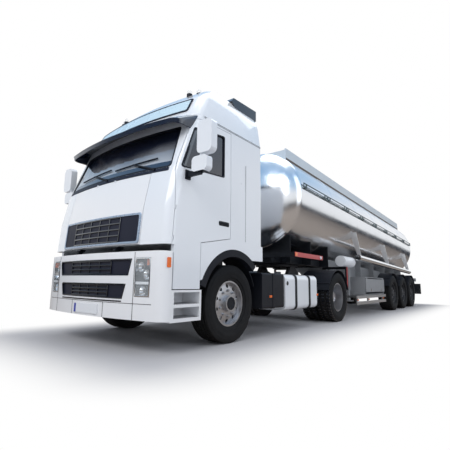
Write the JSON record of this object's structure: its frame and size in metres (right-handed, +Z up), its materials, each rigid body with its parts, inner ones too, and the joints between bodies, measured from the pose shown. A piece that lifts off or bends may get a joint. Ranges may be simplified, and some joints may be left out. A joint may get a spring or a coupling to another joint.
{
  "type": "articulated tanker lorry",
  "caption": "Cab-over tractor with tilting cab, doors, steering and twin drive wheels, coupled to a polished tank semi-trailer.",
  "frame": {"origin": "middle of the footprint on the road, at the overall box's bottom centre", "axes": "+Y runs back along the lorry, +X points to its left, +Z is up; the front faces -Y"},
  "size_m": [3.28, 14.05, 3.6126],
  "materials": {
    "cab_paint": "gloss",
    "black_plastic": "fine grain",
    "chassis_paint": "satin",
    "red_paint": "gloss",
    "grey_paint": "satin",
    "rail_paint": "satin",
    "tank_steel": "polished",
    "bare_aluminium": "brushed",
    "pale_walkway": "satin",
    "wheel_silver": "metallic",
    "cast_metal": "rough",
    "tyre_rubber": "matte",
    "tinted_glass": "clear",
    "lamp_glass": "clear",
    "seat_fabric": "woven"
  },
  "bodies": {
    "tractor": {"tractor_frame": "chassis_paint", "engine": "cast_metal", "front_axle": "chassis_paint", "drive_axle": "chassis_paint", "tractor_suspension": "chassis_paint", "front_bumper": "cab_paint", "lower_grilles": "black_plastic", "headlamps": "lamp_glass", "tractor_mudguards": "black_plastic", "fuel_tanks": "cab_paint", "side_boxes": "black_plastic", "fifth_wheel": "cast_metal"},
    "cab": {"cab_shell": "cab_paint", "cab_tilt_lugs": "chassis_paint", "roof_cap": "cab_paint", "sun_visor": "black_plastic", "windscreen": "tinted_glass", "roof_spoiler": "black_plastic", "wheel_arch_lips": "black_plastic", "seats": "seat_fabric", "dashboard": "black_plastic"},
    "front_flap": {"front_flap": "black_plastic"},
    "door_left": {"door_left": "cab_paint", "door_glass_left": "tinted_glass", "mirror_left": "cab_paint"},
    "steering_left": {"knuckle_left": "cast_metal"},
    "front_wheel_left": {"tyre_front_left": "tyre_rubber", "rim_front_left": "wheel_silver"},
    "drive_wheels_left": {"tyres_drive_left": "tyre_rubber", "rims_drive_left": "wheel_silver"},
    "door_right": {"door_right": "cab_paint", "door_glass_right": "tinted_glass", "mirror_right": "cab_paint"},
    "steering_right": {"knuckle_right": "cast_metal"},
    "front_wheel_right": {"tyre_front_right": "tyre_rubber", "rim_front_right": "wheel_silver"},
    "drive_wheels_right": {"tyres_drive_right": "tyre_rubber", "rims_drive_right": "wheel_silver"},
    "trailer": {"tank_barrel": "tank_steel", "manhole_neck": "tank_steel", "walkway_and_ladder": "pale_walkway", "side_rails": "rail_paint", "hose_tubes": "bare_aluminium", "coupling_frame": "red_paint", "trailer_frame": "grey_paint", "landing_legs": "grey_paint", "side_guards": "bare_aluminium", "trailer_running_gear": "chassis_paint", "trailer_mudguards": "black_plastic", "rear_bumper": "chassis_paint", "discharge_pipe": "tank_steel", "cabinet_body": "grey_paint"},
    "manhole_lid": {"manhole_lid": "tank_steel"},
    "cabinet_door": {"cabinet_door": "grey_paint"},
    "trailer_wheel_left_1": {"trailer_wheel_left_1": "tyre_rubber"},
    "trailer_wheel_left_2": {"trailer_wheel_left_2": "tyre_rubber"},
    "trailer_wheel_left_3": {"trailer_wheel_left_3": "tyre_rubber"},
    "trailer_wheel_right_1": {"trailer_wheel_right_1": "tyre_rubber"},
    "trailer_wheel_right_2": {"trailer_wheel_right_2": "tyre_rubber"},
    "trailer_wheel_right_3": {"trailer_wheel_right_3": "tyre_rubber"}
  },
  "joints": [
    {"name": "cab_tilt", "type": "hinge", "parent": "tractor", "child": "cab", "pos_m": [0, -6.925, 1.14], "axis": [1, 0, 0], "range_deg": [0, 60]},
    {"name": "front_flap_lift", "type": "hinge", "parent": "cab", "child": "front_flap", "pos_m": [0, -6.854, 2.044], "axis": [-1, 0, 0], "range_deg": [0, 75]},
    {"name": "door_left_swing", "type": "hinge", "parent": "cab", "child": "door_left", "pos_m": [1.233, -6.77006, 1.24], "axis": [0, -0.0617, -0.9981], "range_deg": [0, 80]},
    {"name": "door_right_swing", "type": "hinge", "parent": "cab", "child": "door_right", "pos_m": [-1.233, -6.77006, 1.24], "axis": [0, 0.0617, 0.9981], "range_deg": [0, 80]},
    {"name": "steer_left", "type": "hinge", "parent": "tractor", "child": "steering_left", "pos_m": [0.8, -5.645, 0.507], "axis": [0, 0, 1], "range_deg": [-40, 40]},
    {"name": "front_wheel_left_spin", "type": "hinge", "parent": "steering_left", "child": "front_wheel_left", "pos_m": [1.0395, -5.645, 0.507], "axis": [1, 0, 0], "continuous": true},
    {"name": "drive_wheels_left_spin", "type": "hinge", "parent": "tractor", "child": "drive_wheels_left", "pos_m": [0.913, -1.945, 0.507], "axis": [1, 0, 0], "continuous": true},
    {"name": "steer_right", "type": "hinge", "parent": "tractor", "child": "steering_right", "pos_m": [-0.8, -5.645, 0.507], "axis": [0, 0, 1], "range_deg": [-40, 40]},
    {"name": "front_wheel_right_spin", "type": "hinge", "parent": "steering_right", "child": "front_wheel_right", "pos_m": [-1.0395, -5.645, 0.507], "axis": [1, 0, 0], "continuous": true},
    {"name": "drive_wheels_right_spin", "type": "hinge", "parent": "tractor", "child": "drive_wheels_right", "pos_m": [-0.913, -1.945, 0.507], "axis": [1, 0, 0], "continuous": true},
    {"name": "trailer_swing", "type": "hinge", "parent": "tractor", "child": "trailer", "pos_m": [0, -2.425, 1.18], "axis": [0, 0, 1], "range_deg": [-90, 90]},
    {"name": "manhole_lid_lift", "type": "hinge", "parent": "trailer", "child": "manhole_lid", "pos_m": [0, 1.66843, 3.50835], "axis": [-1, 0, 0], "range_deg": [0, 110]},
    {"name": "cabinet_door_lift", "type": "hinge", "parent": "trailer", "child": "cabinet_door", "pos_m": [1.124, 0.975, 0.948], "axis": [0, -1, 0], "range_deg": [0, 90]},
    {"name": "trailer_wheel_left_1_spin", "type": "hinge", "parent": "trailer", "child": "trailer_wheel_left_1", "pos_m": [1.0525, 2.725, 0.536], "axis": [1, 0, 0], "continuous": true},
    {"name": "trailer_wheel_left_2_spin", "type": "hinge", "parent": "trailer", "child": "trailer_wheel_left_2", "pos_m": [1.0525, 4.035, 0.536], "axis": [1, 0, 0], "continuous": true},
    {"name": "trailer_wheel_left_3_spin", "type": "hinge", "parent": "trailer", "child": "trailer_wheel_left_3", "pos_m": [1.0525, 5.345, 0.536], "axis": [1, 0, 0], "continuous": true},
    {"name": "trailer_wheel_right_1_spin", "type": "hinge", "parent": "trailer", "child": "trailer_wheel_right_1", "pos_m": [-1.0525, 2.725, 0.536], "axis": [1, 0, 0], "continuous": true},
    {"name": "trailer_wheel_right_2_spin", "type": "hinge", "parent": "trailer", "child": "trailer_wheel_right_2", "pos_m": [-1.0525, 4.035, 0.536], "axis": [1, 0, 0], "continuous": true},
    {"name": "trailer_wheel_right_3_spin", "type": "hinge", "parent": "trailer", "child": "trailer_wheel_right_3", "pos_m": [-1.0525, 5.345, 0.536], "axis": [1, 0, 0], "continuous": true}
  ],
  "couplings": [
    {"joint": "steer_right", "follows": "steer_left", "ratio": 1}
  ]
}
